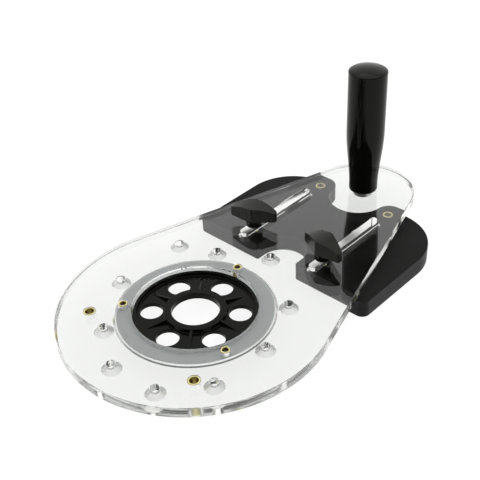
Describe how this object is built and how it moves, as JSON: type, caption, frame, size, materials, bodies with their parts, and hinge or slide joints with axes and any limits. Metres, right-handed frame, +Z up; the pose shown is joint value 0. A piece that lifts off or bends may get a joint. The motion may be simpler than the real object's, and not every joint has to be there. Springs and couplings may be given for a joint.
{
  "type": "offset router base plate",
  "caption": "Clear teardrop router base with a black centre insert, an upright black grip, and a sliding edge guide under the plate clamped by wing knobs.",
  "frame": {"origin": "centre of the whole object's footprint, on the plane that the edge guide stands on", "axes": "+X along the plate from the router ring towards the grip, +Y to the left of that, +Z up"},
  "size_m": [0.3048, 0.1778, 0.1207],
  "materials": {
    "clear_acrylic": "clear polished cast acrylic with frosted machined holes",
    "black_satin_plastic": "satin black plastic, cut from board for the guide and moulded for the knobs and the insert",
    "black_gloss_plastic": "glossy turned black plastic",
    "brass": "bright turned brass",
    "steel": "zinc-plated steel"
  },
  "bodies": {
    "base": {"base_plate": "clear_acrylic", "centre_insert": "black_satin_plastic", "ring_insert_1": "brass", "ring_insert_2": "brass", "ring_insert_3": "brass", "ring_screw_1": "steel", "ring_screw_2": "steel", "ring_screw_3": "steel", "plate_insert_left": "brass", "plate_insert_right": "brass", "handle_grip": "black_gloss_plastic", "handle_insert": "brass", "handle_screw": "steel"},
    "guide": {"edge_guide": "black_satin_plastic", "guide_insert_front_left": "brass", "guide_insert_front_right": "brass", "guide_insert_rear_left": "brass", "guide_insert_rear_right": "brass"},
    "clamp_left": {"knob_washer_left": "black_satin_plastic"},
    "clamp_right": {"knob_washer_right": "black_satin_plastic"},
    "knob_left": {"knob_head_left": "black_satin_plastic", "knob_screw_left": "steel"},
    "knob_right": {"knob_head_right": "black_satin_plastic", "knob_screw_right": "steel"}
  },
  "joints": [
    {"name": "guide_slide", "type": "slide", "parent": "base", "child": "guide", "axis": [1, 0, 0], "range_m": [-0.0099, 0.0585]},
    {"name": "clamp_lift_left", "type": "slide", "parent": "guide", "child": "clamp_left", "axis": [0, 0, 1], "range_m": [0, 0.0014]},
    {"name": "clamp_lift_right", "type": "slide", "parent": "guide", "child": "clamp_right", "axis": [0, 0, 1], "range_m": [0, 0.0014]},
    {"name": "knob_turn_left", "type": "hinge", "parent": "clamp_left", "child": "knob_left", "pos_m": [0.0269, 0.0313, 0.03], "axis": [0, 0, 1], "range_deg": [0, 630]},
    {"name": "knob_turn_right", "type": "hinge", "parent": "clamp_right", "child": "knob_right", "pos_m": [0.0269, -0.0313, 0.03], "axis": [0, 0, 1], "range_deg": [0, 630]}
  ],
  "couplings": [
    {"joint": "clamp_lift_left", "follows": "knob_turn_left", "m_per_rad": 0.00012732},
    {"joint": "clamp_lift_right", "follows": "knob_turn_right", "m_per_rad": 0.00012732}
  ]
}
